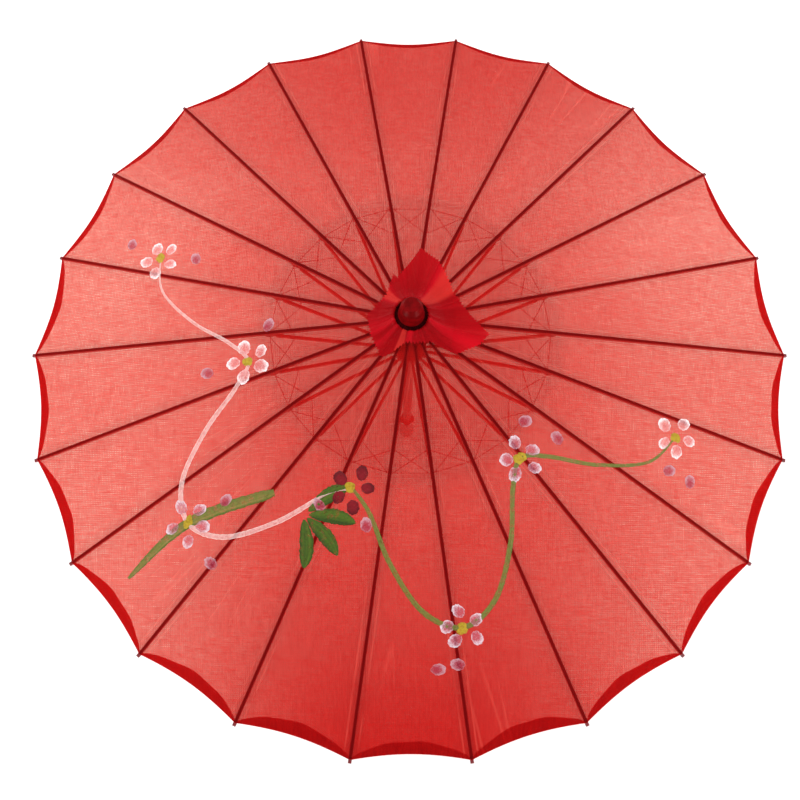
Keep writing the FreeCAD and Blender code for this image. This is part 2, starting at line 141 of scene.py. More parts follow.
def cloth_z(angle, radius):
    """Height of the cloth: flat from rib to rib, with a dip that grows towards the hem."""
    swing = off_middle(angle)
    along_rib = radius * math.cos(swing) / math.cos(HALF_BAY)
    dip = math.cos(math.pi * swing / BAY) ** 2 * (along_rib / EDGE_R) ** 1.5
    return TOP_Z - (along_rib - INNER_R) * SLOPE - SAG * dip


def cloth_point(angle, radius, lift=0.0):
    return outward(angle, radius, cloth_z(angle, radius) + lift)


def cloth_normal(angle, radius):
    step = 0.5 * MM
    turn = step / radius
    across = cloth_point(angle + turn, radius) - cloth_point(angle - turn, radius)
    along = cloth_point(angle, radius + step) - cloth_point(angle, radius - step)
    normal = along.cross(across).normalized()
    return normal if normal.z > 0 else -normal


# ---------------------------------------------------------------- mesh helpers

def new_mesh(name, points, faces, material, smooth=True):
    mesh = bpy.data.meshes.new(name)
    mesh.from_pydata([tuple(p) for p in points], [], faces)
    mesh.validate()
    mesh.materials.append(material)
    mesh.polygons.foreach_set("use_smooth", [smooth] * len(mesh.polygons))
    piece = bpy.data.objects.new(name, mesh)
    bpy.context.scene.collection.objects.link(piece)
    return piece


def grid_faces(rows, columns, start=0):
    """Quads of a grid whose points are listed row by row."""
    faces = []
    for row in range(rows - 1):
        for column in range(columns - 1):
            corner = start + row * columns + column
            faces.append((corner, corner + columns, corner + columns + 1, corner + 1))
    return faces


def share_normals(piece, normals):
    """Smooth shading that runs on across the cut to the neighbouring piece."""
    piece.data.normals_split_custom_set_from_vertices([tuple(n) for n in normals])


def spread(start, end, count):
    return [start + (end - start) * i / (count - 1) for i in range(count)]


# ---------------------------------------------------------------- materials

class Nodes:
    """A short way to write a material's node tree."""

    def __init__(self, name):
        self.material = bpy.data.materials.new(name)
        self.material.use_nodes = True
        self.tree = self.material.node_tree
        self.tree.nodes.clear()
        self.output = self.add("ShaderNodeOutputMaterial")

    def add(self, kind, **settings):
        node = self.tree.nodes.new(kind)
        for key, value in settings.items():
            setattr(node, key, value)
        return node

    def feed(self, socket, value):
        """Link an output socket to an input, or set the input's constant."""
        if isinstance(value, bpy.types.NodeSocket):
            self.tree.links.new(value, socket)
        else:
            socket.default_value = value

    def math(self, operation, *values, clamp=False):
        node = self.add("ShaderNodeMath", operation=operation, use_clamp=clamp)
        for socket, value in zip(node.inputs, values):
            self.feed(socket, value)
        return node.outputs[0]

    def mix_colour(self, factor, first, second, blend="MIX"):
        node = self.add("ShaderNodeMix", data_type="RGBA", blend_type=blend)
        self.feed(node.inputs["Factor"], factor)
        self.feed(node.inputs[6], first)
        self.feed(node.inputs[7], second)
        return node.outputs[2]

    def noise(self, vector, scale, detail=3.0, roughness=0.55):
        node = self.add("ShaderNodeTexNoise")
        self.feed(node.inputs["Vector"], vector)
        node.inputs["Scale"].default_value = scale
        node.inputs["Detail"].default_value = detail
        node.inputs["Roughness"].default_value = roughness
        return node.outputs["Fac"]

    def band(self, value, low, high):
        """0 below low, 1 above high, smooth in between."""
        node = self.add("ShaderNodeMapRange", interpolation_type="SMOOTHSTEP")
        self.feed(node.inputs["Value"], value)
        node.inputs["From Min"].default_value = low
        node.inputs["From Max"].default_value = high
        return node.outputs["Result"]

    def place(self):
        """The piece's own coordinates: (vector, x, y, z)."""
        vector = self.add("ShaderNodeTexCoord").outputs["Object"]
        split = self.add("ShaderNodeSeparateXYZ")
        self.feed(split.inputs[0], vector)
        return vector, *split.outputs

    def polar(self, x, y, z, around, outwards, up):
        """Coordinates that run round, out from and along the pole, each at its own scale."""
        angle = self.math("ARCTAN2", y, x)
        radius = self.math("SQRT", self.math("ADD", self.math("POWER", x, 2.0), self.math("POWER", y, 2.0)))
        join = self.add("ShaderNodeCombineXYZ")
        for socket, value, scale in zip(join.inputs, (angle, radius, z), (around, outwards, up)):
            self.feed(socket, self.math("MULTIPLY", value, scale))
        return join.outputs[0]

    def bump(self, height, distance, strength=1.0, normal=None):
        node = self.add("ShaderNodeBump")
        node.inputs["Strength"].default_value = strength
        node.inputs["Distance"].default_value = distance
        self.feed(node.inputs["Height"], height)
        if normal is not None:
            self.feed(node.inputs["Normal"], normal)
        return node.outputs["Normal"]

    def principled(self, **inputs):
        node = self.add("ShaderNodeBsdfPrincipled")
        for key, value in inputs.items():
            self.feed(node.inputs[key.replace("_", " ")], value)
        return node.outputs[0]

    def mix(self, factor, first, second):
        node = self.add("ShaderNodeMixShader")
        self.feed(node.inputs[0], factor)
        self.feed(node.inputs[1], first)
        self.feed(node.inputs[2], second)
        return node.outputs[0]

    def finish(self, shader):
        self.feed(self.output.inputs["Surface"], shader)
        return self.material


def weave(nodes, x, y, pitch):
    """Plain weave: (thread height 0..1, open hole 0..1) at a thread pitch in metres."""
    rate = math.pi / pitch
    warp = nodes.math("ABSOLUTE", nodes.math("SINE", nodes.math("MULTIPLY", x, rate)))
    weft = nodes.math("ABSOLUTE", nodes.math("SINE", nodes.math("MULTIPLY", y, rate)))
    height = nodes.math("MAXIMUM", warp, weft)
    hole = nodes.math("MULTIPLY", nodes.math("SUBTRACT", 1.0, warp), nodes.math("SUBTRACT", 1.0, weft))
    return height, hole


def painted_light_spread(nodes, x, y):
    """Painted light, 0 to 1: how open and pale the canopy's cloth is made, palest towards both sides, deepest
    at its two ends.
    """
    side = nodes.band(nodes.math("ABSOLUTE", x), 0.05, 0.32)
    high = nodes.band(y, 0.06, 0.38)
    low = nodes.band(nodes.math("MULTIPLY", y, -1.0), 0.10, 0.44)
    pale = nodes.math("MULTIPLY", side, nodes.math("SUBTRACT", 0.46, nodes.math("MULTIPLY", high, 0.36)))
    deep = nodes.math("MULTIPLY", low, nodes.math("SUBTRACT", 0.46, nodes.math("MULTIPLY", side, 0.20)))
    deep = nodes.math("ADD", deep, nodes.math("MULTIPLY", high, 0.24))
    return nodes.math("SUBTRACT", nodes.math("ADD", pale, 0.46), deep, clamp=True)


def rib_distance(nodes, x, y):
    """Distance to the middle of the nearest rib, in metres."""
    turn = nodes.math("DIVIDE", nodes.math("ARCTAN2", y, x), BAY)
    off = nodes.math("ABSOLUTE", nodes.math("SUBTRACT", turn, nodes.math("ROUND", turn)))
    radius = nodes.math("SQRT", nodes.math("ADD", nodes.math("POWER", x, 2.0), nodes.math("POWER", y, 2.0)))
    return nodes.math("MULTIPLY", nodes.math("MULTIPLY", off, radius), BAY)


def ridges(nodes, value, sharpness):
    """Thin lines where a noise passes its middle value."""
    off = nodes.math("ABSOLUTE", nodes.math("SUBTRACT", value, 0.5))
    return nodes.math("SUBTRACT", 1.0, nodes.band(off, 0.0, sharpness))


def canopy_cloth(name):
    """Thin plain-woven cloth: lit threads, light coming through them, and open holes between."""
    nodes = Nodes(name)
    vector, x, y, z = nodes.place()
    stretch = nodes.add("ShaderNodeMapping")
    nodes.feed(stretch.inputs["Vector"], vector)
    stretch.inputs["Scale"].default_value = (70, 640, 60)
    slubs = nodes.noise(stretch.outputs[0], 1.0, 3.0, 0.6)
    cross = nodes.add("ShaderNodeMapping")
    nodes.feed(cross.inputs["Vector"], vector)
    cross.inputs["Scale"].default_value = (560, 70, 60)
    warps = nodes.noise(cross.outputs[0], 1.0, 3.0, 0.6)
    height, hole = weave(nodes, x, y, 1.9 * MM)
    cloud = nodes.noise(vector, 9.0, 3.0)
    wrinkles = nodes.noise(nodes.polar(x, y, z, 15, 2.2, 2), 1.0, 1.0, 0.4)
    lines = ridges(nodes, wrinkles, 0.03)
    broken = nodes.band(nodes.noise(vector, 8.0, 1.0), 0.50, 0.75)
    lines = nodes.math("MULTIPLY", lines, broken)
    away = rib_distance(nodes, x, y)
    glued = nodes.math("SUBTRACT", 1.0, nodes.band(away, RIB_HALF * 0.7, RIB_HALF * 1.25))
    off_fold = nodes.math("ABSOLUTE", nodes.math("SUBTRACT", away, FOLD_AWAY))
    fold_line = nodes.math("SUBTRACT", 1.0, nodes.band(off_fold, 0.3 * MM, 1.4 * MM))
    beside = nodes.math("MULTIPLY", fold_line, nodes.band(nodes.noise(vector, 11.0, 2.0), 0.45, 0.6))
    crease = nodes.math("MAXIMUM", nodes.math("MULTIPLY", lines, 0.55), nodes.math("MULTIPLY", beside, 0.6))
    # Painted light: the cloth is made paler and more open towards both sides and deeper at its two ends.
    painted_paleness = painted_light_spread(nodes, x, y)
    glow = nodes.mix_colour(painted_paleness, (0.36, 0.006, 0.005, 1), (0.64, 0.020, 0.012, 1))
    glow = nodes.mix_colour(nodes.math("MULTIPLY", crease, 0.5), glow, (0.95, 0.14, 0.10, 1))
    surface = nodes.mix_colour(nodes.band(warps, 0.3, 0.7), (0.38, 0.003, 0.004, 1), (0.50, 0.006, 0.006, 1))
    surface = nodes.mix_colour(nodes.math("MULTIPLY", glued, 0.7), surface, (0.12, 0.0005, 0.002, 1))
    relief = nodes.math("ADD", nodes.math("MULTIPLY", slubs, 0.6), nodes.math("MULTIPLY", height, 0.5))
    normal = nodes.bump(crease, 0.8 * MM, 0.6)
    normal = nodes.bump(relief, 0.2 * MM, 0.55, normal)
    threads = nodes.principled(Base_Color=surface, Roughness=0.7, Normal=normal, Specular_IOR_Level=0.06,
                               Sheen_Weight=0.08, Sheen_Roughness=0.4, Sheen_Tint=(1.0, 0.25, 0.2, 1))
    shine_through = nodes.add("ShaderNodeBsdfTranslucent")
    nodes.feed(shine_through.inputs["Color"], glow)
    nodes.feed(shine_through.inputs["Normal"], normal)
    body = nodes.mix(0.55, threads, shine_through.outputs[0])
    open_mesh = nodes.add("ShaderNodeBsdfTransparent")
    open_mesh.inputs["Color"].default_value = (1.0, 0.82, 0.66, 1)
    clear = open_mesh.outputs[0]
    gap = nodes.math("MULTIPLY", nodes.math("ADD", nodes.math("MULTIPLY", painted_paleness, 0.205), 0.006),
                     nodes.math("ADD", nodes.math("MULTIPLY", slubs, 1.8), 0.1))
    gap = nodes.math("MULTIPLY", gap, nodes.math("ADD", nodes.math("MULTIPLY", warps, 1.1), 0.45))
    gap = nodes.math("MULTIPLY", gap, nodes.math("ADD", nodes.math("MULTIPLY", hole, 2.0), 0.74))
    gap = nodes.math("MULTIPLY", gap, nodes.math("ADD", nodes.math("MULTIPLY", cloud, 0.5), 0.75), clamp=True)
    gap = nodes.math("MULTIPLY", gap, nodes.math("SUBTRACT", 1.0, nodes.math("MULTIPLY", glued, 0.6)))
    return nodes.finish(nodes.mix(gap, body, clear))


def wedge(nodes, x, y, bearing, spread_angle):
    """1 along one bearing from the pole, in degrees, fading to 0 at spread_angle to each side."""
    turned = nodes.math("ARCTAN2", y, x)
    off = nodes.math("ABSOLUTE", nodes.math("SUBTRACT", turned, math.radians(bearing)))
    edge = math.radians(spread_angle)
    return nodes.math("SUBTRACT", 1.0, nodes.band(off, edge / 2, edge))


def dense_cloth(name, dark, light, glow, openness, pleats, relief, painted_glow_bearings=()):
    """Doubled or gathered cloth: nearly opaque, its folds running out from the pole, with painted shade in
    their valleys and painted light on their crests.

    The last argument holds the bearings where gathered cloth lies in one layer, its colour painted lighter
    there for the light that comes through; such cloth carries its fold heights on its mesh, painted as shade
    and light in its colour.
    """
    nodes = Nodes(name)
    vector, x, y, z = nodes.place()
    folds = nodes.noise(nodes.polar(x, y, z, pleats, 12, 12), 1.0, 4.0, 0.6)
    height, hole = weave(nodes, x, y, 0.9 * MM)
    fuzz = nodes.noise(vector, 500.0, 3.0)
    # Painted fold shade: the colour runs from dark in the fold valleys to light on the crests.
    tone = nodes.math("ADD", nodes.math("MULTIPLY", folds, 0.75), nodes.math("MULTIPLY", fuzz, 0.25))
    if painted_glow_bearings:
        # Painted fold shade from the mesh: darker in its fold valleys, lighter on its crests.
        painted_fold_shade = nodes.add("ShaderNodeAttribute", attribute_name="fold").outputs["Fac"]
        tone = nodes.math("ADD", nodes.math("MULTIPLY", tone, 0.5), nodes.math("MULTIPLY", painted_fold_shade, 0.46))
    colour = nodes.mix_colour(nodes.band(tone, 0.34, 0.66), dark, light)
    for bearing, spread_angle in painted_glow_bearings:
        # Painted light: a lighter red along these bearings stands in for light coming through one layer of
        # cloth.
        thin = nodes.math("MULTIPLY", wedge(nodes, x, y, bearing, spread_angle), 0.8)
        colour = nodes.mix_colour(thin, colour, (0.74, 0.035, 0.028, 1))
    normal = nodes.bump(folds, relief, 0.8)
    normal = nodes.bump(height, 0.1 * MM, 0.4, normal)
    threads = nodes.principled(Base_Color=colour, Roughness=0.68, Normal=normal, Specular_IOR_Level=0.08,
                               Sheen_Weight=0.12, Sheen_Roughness=0.35, Sheen_Tint=(1.0, 0.10, 0.12, 1))
    shine_through = nodes.add("ShaderNodeBsdfTranslucent")
    nodes.feed(shine_through.inputs["Color"], glow)
    nodes.feed(shine_through.inputs["Normal"], normal)
    body = nodes.mix(0.35, threads, shine_through.outputs[0])
    clear = nodes.add("ShaderNodeBsdfTransparent").outputs[0]
    return nodes.finish(nodes.mix(nodes.math("MULTIPLY", hole, openness), body, clear))


def stained_wood(name, dark, light, roughness, around, outwards, up, coat=0.3):
    """Split or turned wood under stain and varnish, its grain running along the piece."""
    nodes = Nodes(name)
    vector, x, y, z = nodes.place()
    run = nodes.polar(x, y, z, around, outwards, up)
    grain = nodes.noise(run, 1.0, 6.0, 0.65)
    wear = nodes.noise(vector, 45.0, 3.0)
    colour = nodes.mix_colour(nodes.band(grain, 0.3, 0.72), dark, light)
    colour = nodes.mix_colour(nodes.math("MULTIPLY", nodes.band(wear, 0.6, 0.8), 0.25), colour,
                              [c * 1.5 for c in light[:3]] + [1])
    rough = nodes.math("ADD", nodes.math("MULTIPLY", grain, 0.18), roughness - 0.09)
    return nodes.finish(nodes.principled(
        Base_Color=colour, Roughness=rough, Normal=nodes.bump(grain, 0.15 * MM, 0.5),
        Coat_Weight=coat, Coat_Roughness=0.25))


def lacquer(name):
    """Deep red lacquer, rubbed down: turning rings, dust and a soft highlight."""
    nodes = Nodes(name)
    vector, x, y, z = nodes.place()
    rings = nodes.noise(nodes.polar(x, y, z, 0.6, 500, 900), 1.0, 3.0)
    cloud = nodes.noise(vector, 160.0, 3.0)
    colour = nodes.mix_colour(nodes.band(cloud, 0.3, 0.7), (0.11, 0.0004, 0.001, 1), (0.18, 0.0008, 0.002, 1))
    rough = nodes.math("ADD", nodes.math("MULTIPLY", cloud, 0.14), 0.36)
    return nodes.finish(nodes.principled(
        Base_Color=colour, Roughness=rough, Normal=nodes.bump(rings, 0.04 * MM, 0.3),
        Specular_IOR_Level=0.03, Coat_Weight=0.01, Coat_Roughness=0.25))


def metal(name, colour, roughness):
    nodes = Nodes(name)
    vector, x, y, z = nodes.place()
    drawn = nodes.noise(nodes.polar(x, y, z, 4, 4000, 4000), 1.0, 2.0)
    rough = nodes.math("ADD", nodes.math("MULTIPLY", drawn, 0.15), roughness)
    shade = nodes.mix_colour(drawn, colour, [c * 0.75 for c in colour[:3]] + [1])
    return nodes.finish(nodes.principled(
        Base_Color=shade, Metallic=1.0, Roughness=rough, Normal=nodes.bump(drawn, 0.02 * MM, 0.4)))


def thread_material(name):
    """Two-ply twisted thread."""
    nodes = Nodes(name)
    vector, x, y, z = nodes.place()
    ply = nodes.math("SINE", nodes.math("MULTIPLY", nodes.math("ADD", nodes.math("ADD", x, y), z), 5200.0))
    fuzz = nodes.noise(vector, 900.0, 2.0)
    colour = nodes.mix_colour(nodes.band(ply, -0.6, 0.8), (0.20, 0.006, 0.012, 1), (0.48, 0.025, 0.035, 1))
    height = nodes.math("ADD", ply, fuzz)
    return nodes.finish(nodes.principled(
        Base_Color=colour, Roughness=0.8, Normal=nodes.bump(height, 0.08 * MM, 0.7), Sheen_Weight=0.3))


def paint_material(name):
    """Brushed paint: the mesh carries each stroke's colour and cover, and the nodes its bristle streaks."""
    nodes = Nodes(name)
    vector, x, y, z = nodes.place()
    tint = nodes.add("ShaderNodeAttribute", attribute_name="paint")
    bristle = nodes.noise(vector, 480.0, 4.0, 0.7)
    thin = nodes.noise(vector, 210.0, 3.0, 0.6)
    streaks = nodes.band(bristle, 0.45, 0.75)
    colour = nodes.mix_colour(streaks, tint.outputs["Color"], (0.85, 0.55, 0.6, 1), "MULTIPLY")
    coat = nodes.principled(Base_Color=colour, Roughness=0.5,
                            Normal=nodes.bump(bristle, 0.15 * MM, 0.7), Specular_IOR_Level=0.2)
    clear = nodes.add("ShaderNodeBsdfTransparent").outputs[0]
    worn = nodes.math("SUBTRACT", 1.15, nodes.math("MULTIPLY", nodes.band(thin, 0.42, 0.72), 0.4))
    cover = nodes.math("MULTIPLY", tint.outputs["Alpha"], worn, clamp=True)
    return nodes.finish(nodes.mix(cover, clear, coat))


CANOPY_CLOTH = canopy_cloth("canopy_cloth")
HEM_CLOTH = dense_cloth(
    "hem_cloth", (0.46, 0.002, 0.005, 1), (0.78, 0.006, 0.010, 1), (0.80, 0.004, 0.007, 1),
    0.10, 260, 1.2 * MM)
CAP_CLOTH = dense_cloth(
    "cap_cloth", (0.36, 0.0006, 0.004, 1), (0.66, 0.003, 0.013, 1), (0.76, 0.003, 0.010, 1),
    0.12, 9, 1.6 * MM,
    painted_glow_bearings=((47, 15), (131, 10), (-112, 9)))
# Painted shade: nearly black, opaque cloth inside the cap's neck, where the hollow round the finial lies in
# shade.
NECK_SHADE_CLOTH = dense_cloth("neck_painted_shade", (0.03, 0.0002, 0.001, 1), (0.09, 0.0006, 0.002, 1), (0.05, 0, 0, 1),
                         0.0, 20, 1.0 * MM)
BAMBOO = stained_wood("stained_bamboo", (0.10, 0.001, 0.003, 1), (0.22, 0.004, 0.008, 1),
                       0.42, 260, 26, 26, 0.1)
# Painted light: a lighter copy of the ribs' stain, standing in for how the stretchers show lit through the
# cloth.
PAINTED_LIGHT_BAMBOO = stained_wood("bamboo_painted_lighter", (0.30, 0.012, 0.012, 1), (0.46, 0.03, 0.025, 1),
                           0.5, 260, 26, 26, 0.1)
POLE_WOOD = stained_wood("pole_wood", (0.10, 0.004, 0.007, 1), (0.24, 0.012, 0.014, 1), 0.38, 5, 500, 14)
GRIP_WOOD = stained_wood("grip_wood", (0.12, 0.003, 0.006, 1), (0.25, 0.008, 0.012, 1), 0.3, 4, 500, 18, 0.6)
RING_WOOD = stained_wood("ring_wood", (0.08, 0.003, 0.006, 1), (0.20, 0.010, 0.012, 1), 0.45, 9, 420, 60)
LACQUER = lacquer("red_lacquer")
STEEL = metal("bright_wire", (0.72, 0.72, 0.74, 1), 0.18)
BRASS = metal("brass_pin", (0.80, 0.58, 0.26, 1), 0.22)
THREAD = thread_material("twisted_thread")
PAINT = paint_material("brushed_paint")


def dress_frame():
    """The CAD nodes that stay: each gets its finish."""
    finishes = {"pole": POLE_WOOD, "grip": GRIP_WOOD, "top_hub": RING_WOOD, "runner": RING_WOOD,
                "finial": LACQUER, "hub_pin": BRASS, "catch_pin": BRASS, "catch_spring": STEEL,
                "hub_wire": STEEL, "runner_wire": STEEL, "cap_tie": STEEL}
    for name, node in frame["nodes"].items():
        if name.startswith("rib_"):
            finish = BAMBOO
        # The stretchers take the ribs' stain painted lighter.
        elif name.startswith("stretcher_"):
            finish = PAINTED_LIGHT_BAMBOO
        elif name in finishes:
            finish = finishes[name]
        else:
            continue
        for slot in node.material_slots:
            slot.link = "OBJECT"
            slot.material = finish


# ---------------------------------------------------------------- canopy

GORE_ROWS, GORE_COLUMNS = 56, 25


def make_gore(index):
    """The cloth from mid-bay to mid-bay over one rib."""
    middle = rib_angle(index)
    points, normals = [], []
    for share in spread(0.0, 1.0, GORE_ROWS):
        for angle in spread(middle - HALF_BAY + 1e-7, middle + HALF_BAY - 1e-7, GORE_COLUMNS):
            radius = INNER_R + (hem_radius(angle) - INNER_R) * share
            points.append(cloth_point(angle, radius))
            normals.append(cloth_normal(angle, radius))
    gore = new_mesh(f"gore_{index + 1:02d}", points, grid_faces(GORE_ROWS, GORE_COLUMNS), CANOPY_CLOTH)
    share_normals(gore, normals)
    return gore


def hem_width(angle):
    """The folded hem is a crescent, widest on the side away from +Y."""
    widest = (8.2 - 3.6 * math.sin(angle)) * MM
    pucker = 1 + 0.07 * math.sin(9 * angle) + 0.05 * math.sin(61 * angle + 1.0)
    return widest * pucker * max(math.cos(math.pi * off_middle(angle) / BAY), 0.0) ** 0.6 + 0.8 * MM


def make_hem(index):
    """The cloth's edge turned under: a small roll and a strip below the gore."""
    middle = rib_angle(index)
    columns = 25
    roll = [(0.0, 0.02), (0.22, -0.04), (0.30, -0.20), (0.12, -0.36), (-0.3, -0.42)]
    strip = [0.12, 0.45, 0.75, 1.0]
    angles = spread(middle - HALF_BAY + 1e-7, middle + HALF_BAY - 1e-7, columns)
    points = []
    for out, up in roll:
        points += [cloth_point(a, hem_radius(a) + out * MM, up * MM) for a in angles]
    for share in strip:
        points += [cloth_point(a, hem_radius(a) - share * hem_width(a), -0.42 * MM) for a in angles]
    rows = len(roll) + len(strip)
    return new_mesh(f"hem_{index + 1:02d}", points, grid_faces(rows, columns), HEM_CLOTH)


# ---------------------------------------------------------------- painted blossom

PETAL_PINK = ((0.72, 0.60, 0.66, 0.85), (0.52, 0.12, 0.18, 0.40))
PETAL_WHITE = ((0.88, 0.76, 0.76, 0.92), (0.84, 0.34, 0.34, 0.35))
PETAL_RED = ((0.10, 0.0003, 0.004, 1.0), (0.20, 0.002, 0.008, 1.0))
BUD_PINK = ((0.55, 0.30, 0.35, 0.80), (0.36, 0.02, 0.05, 0.70))
YELLOW = ((0.36, 0.24, 0.010, 0.95), (0.46, 0.32, 0.018, 0.90))
GREEN = ((0.016, 0.040, 0.004, 1.0), (0.065, 0.12, 0.008, 0.95))
OLIVE = ((0.045, 0.095, 0.008, 1.0), (0.22, 0.22, 0.045, 0.72))
CHALK = ((0.80, 0.70, 0.66, 0.95), (0.84, 0.45, 0.42, 0.40))

# A wavy garland round part of the canopy, with a blossom at each crest and hollow. Bearings are in degrees and
# distances from the pole are shares of the canopy's radius.
GARLAND_FROM, GARLAND_TO = 160, 340
GARLAND_SHARE, GARLAND_SWING = 0.55, 0.15
BLOSSOMS = [PETAL_WHITE, PETAL_WHITE, PETAL_PINK, PETAL_RED, PETAL_PINK, PETAL_PINK, PETAL_WHITE]
PETALS = 5
PETAL_RING = 16                  # petals' distance from a blossom's centre, in millimetres
PETAL_LENGTH = (13.0, 15.5)      # shortest and longest
PETAL_FATNESS = (0.74, 0.92)     # width as a share of length
HEART_DABS = 3
HEART_SIZE = (10, 7.5)           # length and width of a dab, in millimetres
BUDS = 2                         # loose buds beside each blossom
BUD_SIZE = (14, 11)
BUD_RING = 40
# The branch comes in from the rim: (bearing, share of the canopy's radius).
BRANCH = [(220, 0.9), (220, 0.7), (230, 0.5)]
# Leaves fan out from one node.
LEAF_NODE = (240, 0.5)
LEAVES = 4
LEAF_FIRST, LEAF_STEP = 30, -40
LEAF_LENGTH, LEAF_HALF_WIDTH = 50, 7
PAINT_LIFT = 0.30 * MM


class Painting:
    """Strokes on the cloth, kept in one list of faces for each gore."""

    def __init__(self):
        self.gores = {index: ([], [], []) for index in range(RIBS)}

    def patch(self, grid, colours):
        """grid: rows of (x, y, lift) in metres; colours: the same rows of colour."""
        columns = len(grid[0])
        flat = [point for row in grid for point in row]
        tones = [tone for row in colours for tone in row]
        for face in grid_faces(len(grid), columns):
            x = sum(flat[i][0] for i in face) / 4
            y = sum(flat[i][1] for i in face) / 4
            points, faces, shades = self.gores[round(math.atan2(y, x) / BAY) % RIBS]
            start = len(points)
            for i in face:
                px, py, lift = flat[i]
                points.append(cloth_point(math.atan2(py, px), math.hypot(px, py), lift))
                shades.append(tones[i])
            faces.append(tuple(range(start, start + 4)))

    def pieces(self):
        """One welded mesh for each gore that has paint on it, with its rib's index."""
        made = []
        for index, (points, faces, shades) in self.gores.items():
            if not faces:
                continue
            piece = new_mesh(f"paint_{index + 1:02d}", *weld(points, faces), PAINT)
            shade = {key(p): s for p, s in zip(points, shades)}
            layer = piece.data.color_attributes.new("paint", "FLOAT_COLOR", "POINT")
            for vertex, entry in zip(piece.data.vertices, layer.data):
                entry.color = shade[key(vertex.co)]
            made.append((index, piece))
        return made


def key(point):
    return tuple(round(c * 1e6) for c in point)


def weld(points, faces):
    """Share the points that coincide."""
    kept, places, lookup = [], [], {}
    for point in points:
        spot = key(point)
        if spot not in lookup:
            lookup[spot] = len(kept)
            kept.append(point)
        places.append(lookup[spot])
    joined = []
    for face in faces:
        corners = list(dict.fromkeys(places[i] for i in face))
        if len(corners) > 2:
            joined.append(tuple(corners))
    return kept, joined


def blend_tone(pair, share, rng):
    """A colour between the pair's two, with a brush's unevenness."""
    share = min(1.0, max(0.0, share + rng.uniform(-0.12, 0.12)))
    return tuple(a + (b - a) * share for a, b in zip(*pair))


def petal(painting, centre, heading, length, width, pair, rng):
    """A round dab with an uneven edge: thick paint round its rim, thin inside, and smeared to one side."""
    rings, spokes = 8, 28
    along = Vector((math.cos(heading), math.sin(heading)))
    across = Vector((-along.y, along.x))
    wobble = [1 + rng.uniform(-0.08, 0.08) for _ in range(spokes)]
    grid, colours = [], []
    for ring in range(rings):
        share = max(ring / (rings - 1), 0.02)
        row, tones = [], []
        for spoke in range(spokes + 1):
            turn = 2 * math.pi * spoke / spokes
            reach = share * (1 + (wobble[spoke % spokes] - 1) * share)
            spot = Vector(centre) + along * (math.cos(turn) * reach * length / 2)
            spot += across * (math.sin(turn) * reach * width / 2)
            dome = PAINT_LIFT + 0.3 * MM * share * (1 - share) * 4
            row.append((spot.x, spot.y, dome))
            inside = 1 - share ** 2.5 - 0.55 * math.cos(turn) * share + 0.25 * math.sin(9 * spot.x / MM)
            tones.append(blend_tone(pair, inside, rng))
        colours.append(tones[:-1] + tones[:1])
        grid.append(row)
    painting.patch(grid, colours)


def smooth_line(points, count):
    """Points along a Catmull-Rom curve through the given ones."""
    ends = [points[0]] + list(points) + [points[-1]]
    line = []
    spans = len(points) - 1
    for step in range(count):
        place = step / (count - 1) * spans
        span = min(int(place), spans - 1)
        share = place - span
        a, b, c, d = (np.array(p, float) for p in ends[span:span + 4])
        line.append(0.5 * (2 * b + (c - a) * share + (2 * a - 5 * b + 4 * c - d) * share ** 2
                           + (3 * b - a - 3 * c + d) * share ** 3))
    return line


def stroke(painting, points, half_widths, pair, rng, leaf=False):
    """One pull of the brush, its paint pushed out to both edges; a leaf is pointed at both ends."""
    length = sum(math.dist(a, b) for a, b in zip(points, points[1:]))
    steps = max(10, round(length / (1.5 * MM)))
    line = smooth_line(points, steps)
    columns = 11
    lanes = [rng.uniform(-0.3, 0.3) for _ in range(columns)]
    grid, colours = [], []
    for i, spot in enumerate(line):
        before, after = line[max(i - 1, 0)], line[min(i + 1, steps - 1)]
        run = (after - before) / max(np.linalg.norm(after - before), 1e-9)
        side = np.array((-run[1], run[0]))
        share = i / (steps - 1)
        width = half_widths[0] + (half_widths[1] - half_widths[0]) * share
        swell = math.sin(math.pi * min(max(share, 0.02), 0.98)) ** (0.75 if leaf else 0.25)
        ragged = 1 + rng.uniform(-0.08, 0.08)
        row, tones = [], []
        for column in range(columns):
            offset = 2 * column / (columns - 1) - 1
            place = spot + side * offset * width * swell * ragged
            row.append((place[0], place[1], PAINT_LIFT + 0.2 * MM * (1 - offset ** 2)))
            inside = 0.75 - 0.6 * abs(offset) ** 3 + lanes[column] + (0.25 * offset if leaf else 0)
            tones.append(blend_tone(pair, inside, rng))
        grid.append(row)
        colours.append(tones)
    painting.patch(grid, colours)


def on_canopy(bearing, share):
    """A place on the canopy, in metres."""
    spot = outward(math.radians(bearing), share * EDGE_R)
    return spot.x, spot.y


def away_from(spot, heading, distance):
    """The place at a heading in degrees and a distance in millimetres from another."""
    turned = math.radians(heading)
    return spot[0] + math.cos(turned) * distance * MM, spot[1] + math.sin(turned) * distance * MM


def metres(lengths):
    return tuple(length * MM for length in lengths)


def garland_spot(turn):
    """A place along the garland, turn going from 0 to 1."""
    bearing = GARLAND_FROM + (GARLAND_TO - GARLAND_FROM) * turn
    return on_canopy(bearing, GARLAND_SHARE + GARLAND_SWING * math.cos(math.pi * turn * (len(BLOSSOMS) - 1)))


